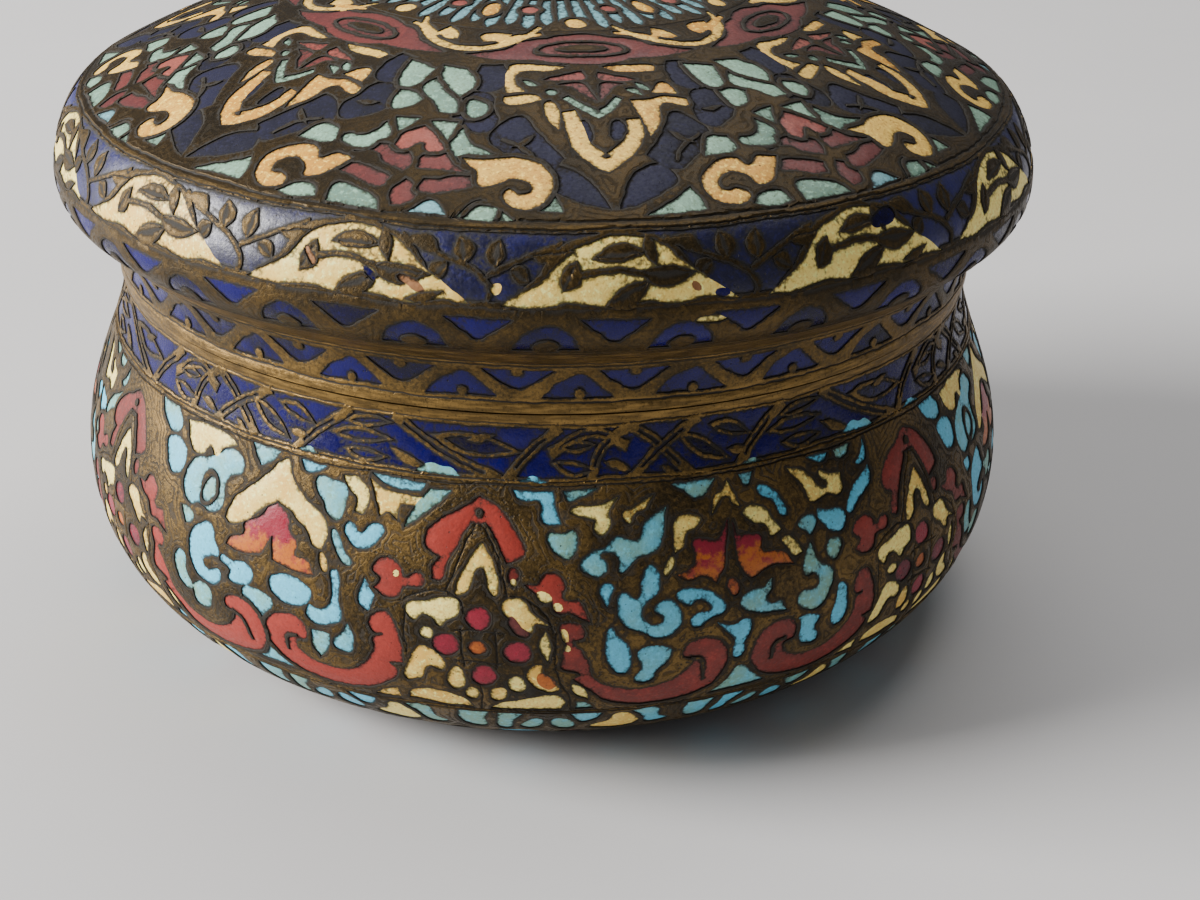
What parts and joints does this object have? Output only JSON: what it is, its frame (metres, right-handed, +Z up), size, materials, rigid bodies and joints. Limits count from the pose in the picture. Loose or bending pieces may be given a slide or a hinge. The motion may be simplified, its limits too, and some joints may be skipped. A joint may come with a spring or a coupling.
{
  "type": "cloisonne enamel box",
  "caption": "Round lidded trinket box of brass with enamelled ornament in sunk cells; bulging hollow body on a foot ring, low domed lid with a rolled rim that lifts off.",
  "frame": {"origin": "centre of the circle that the box stands on, at the bottom of the foot ring", "axes": "+Z up along the turning axis, through the middle of the body and the lid"},
  "size_m": [0.1005, 0.1006, 0.067],
  "materials": {
    "body_brass": "satin",
    "lid_brass": "satin",
    "turquoise_enamel": "satin",
    "cream_enamel": "satin",
    "red_enamel": "satin",
    "ruby_enamel": "satin",
    "green_enamel": "satin",
    "amber_enamel": "satin",
    "navy_enamel": "satin",
    "blue_enamel": "gloss"
  },
  "bodies": {
    "root": {"body": "body_brass", "lid": "lid_brass"}
  },
  "joints": []
}
